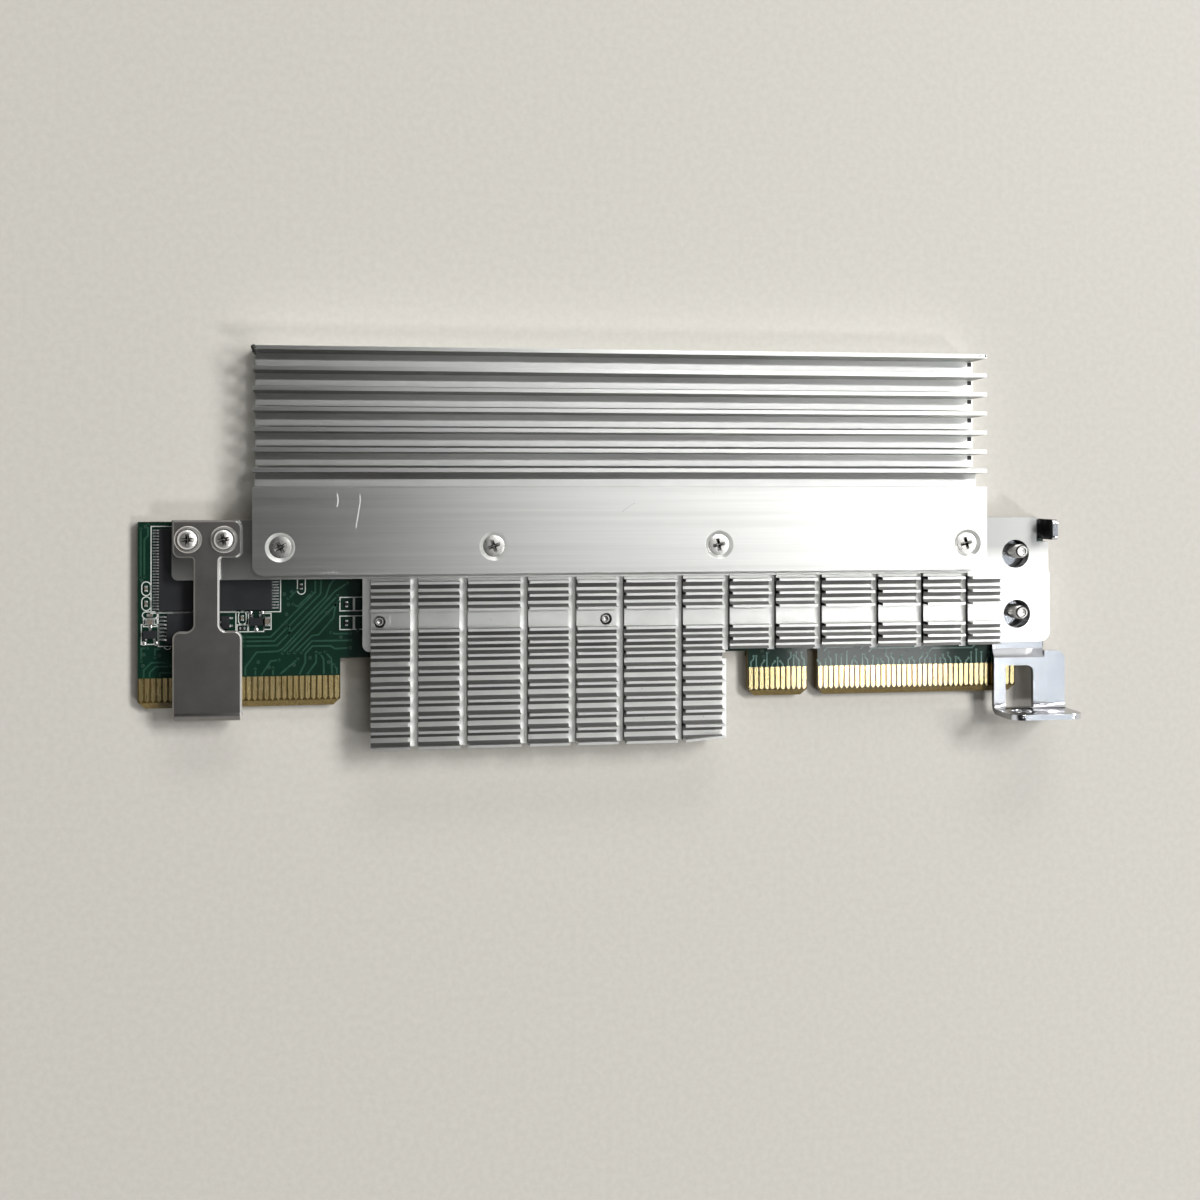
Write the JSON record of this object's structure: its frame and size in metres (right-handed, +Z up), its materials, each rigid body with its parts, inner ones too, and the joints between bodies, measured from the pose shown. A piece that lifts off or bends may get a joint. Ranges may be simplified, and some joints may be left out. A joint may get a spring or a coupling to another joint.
{
  "type": "raid controller card",
  "caption": "Long storage controller card with two edge connectors, a milled heat sink over the board, a finned extension behind it, a paddle bracket and an end bracket with a screw foot.",
  "frame": {"origin": "middle of the card's underside, at the level of the surface that it lies on", "axes": "+X along the card towards the end bracket, +Y from the contact edge to the fins that hang behind the board, +Z up through the board to the heat sink"},
  "size_m": [0.1674, 0.0692, 0.0122],
  "materials": {
    "board_laminate": "glossy green solder mask",
    "contact_gold": "gold plated",
    "chip_black": "moulded black",
    "pad_grey": "soft grey pad",
    "sink_aluminium": "milled",
    "extension_aluminium": "extruded and brushed",
    "screw_steel": "plated steel",
    "paddle_steel": "satin sheet",
    "washer_steel": "bright plated",
    "bracket_steel": "polished sheet",
    "lead_tin": "tinned",
    "capacitor_ceramic": "fired ceramic",
    "resistor_black": "glazed black"
  },
  "bodies": {
    "root": {"circuit_board": "board_laminate", "main_contacts_upper": "contact_gold", "main_contacts_lower": "contact_gold", "side_contacts_upper": "contact_gold", "side_contacts_lower": "contact_gold", "controller_chip": "chip_black", "thermal_pad": "pad_grey", "controller_heat_sink": "sink_aluminium", "extension_heat_sink": "extension_aluminium", "flange_screws": "screw_steel", "heat_sink_screws": "screw_steel", "paddle_bracket": "paddle_steel", "paddle_washers": "washer_steel", "paddle_screws": "washer_steel", "end_bracket": "bracket_steel", "end_bracket_screws": "screw_steel", "flash_chip": "chip_black", "flash_chip_leads": "lead_tin", "logic_chip": "chip_black", "logic_chip_leads": "lead_tin", "small_transistors": "chip_black", "transistor_leads": "lead_tin", "chip_capacitors": "capacitor_ceramic", "capacitor_ends": "lead_tin", "chip_resistors": "resistor_black", "resistor_ends": "lead_tin"}
  },
  "joints": []
}
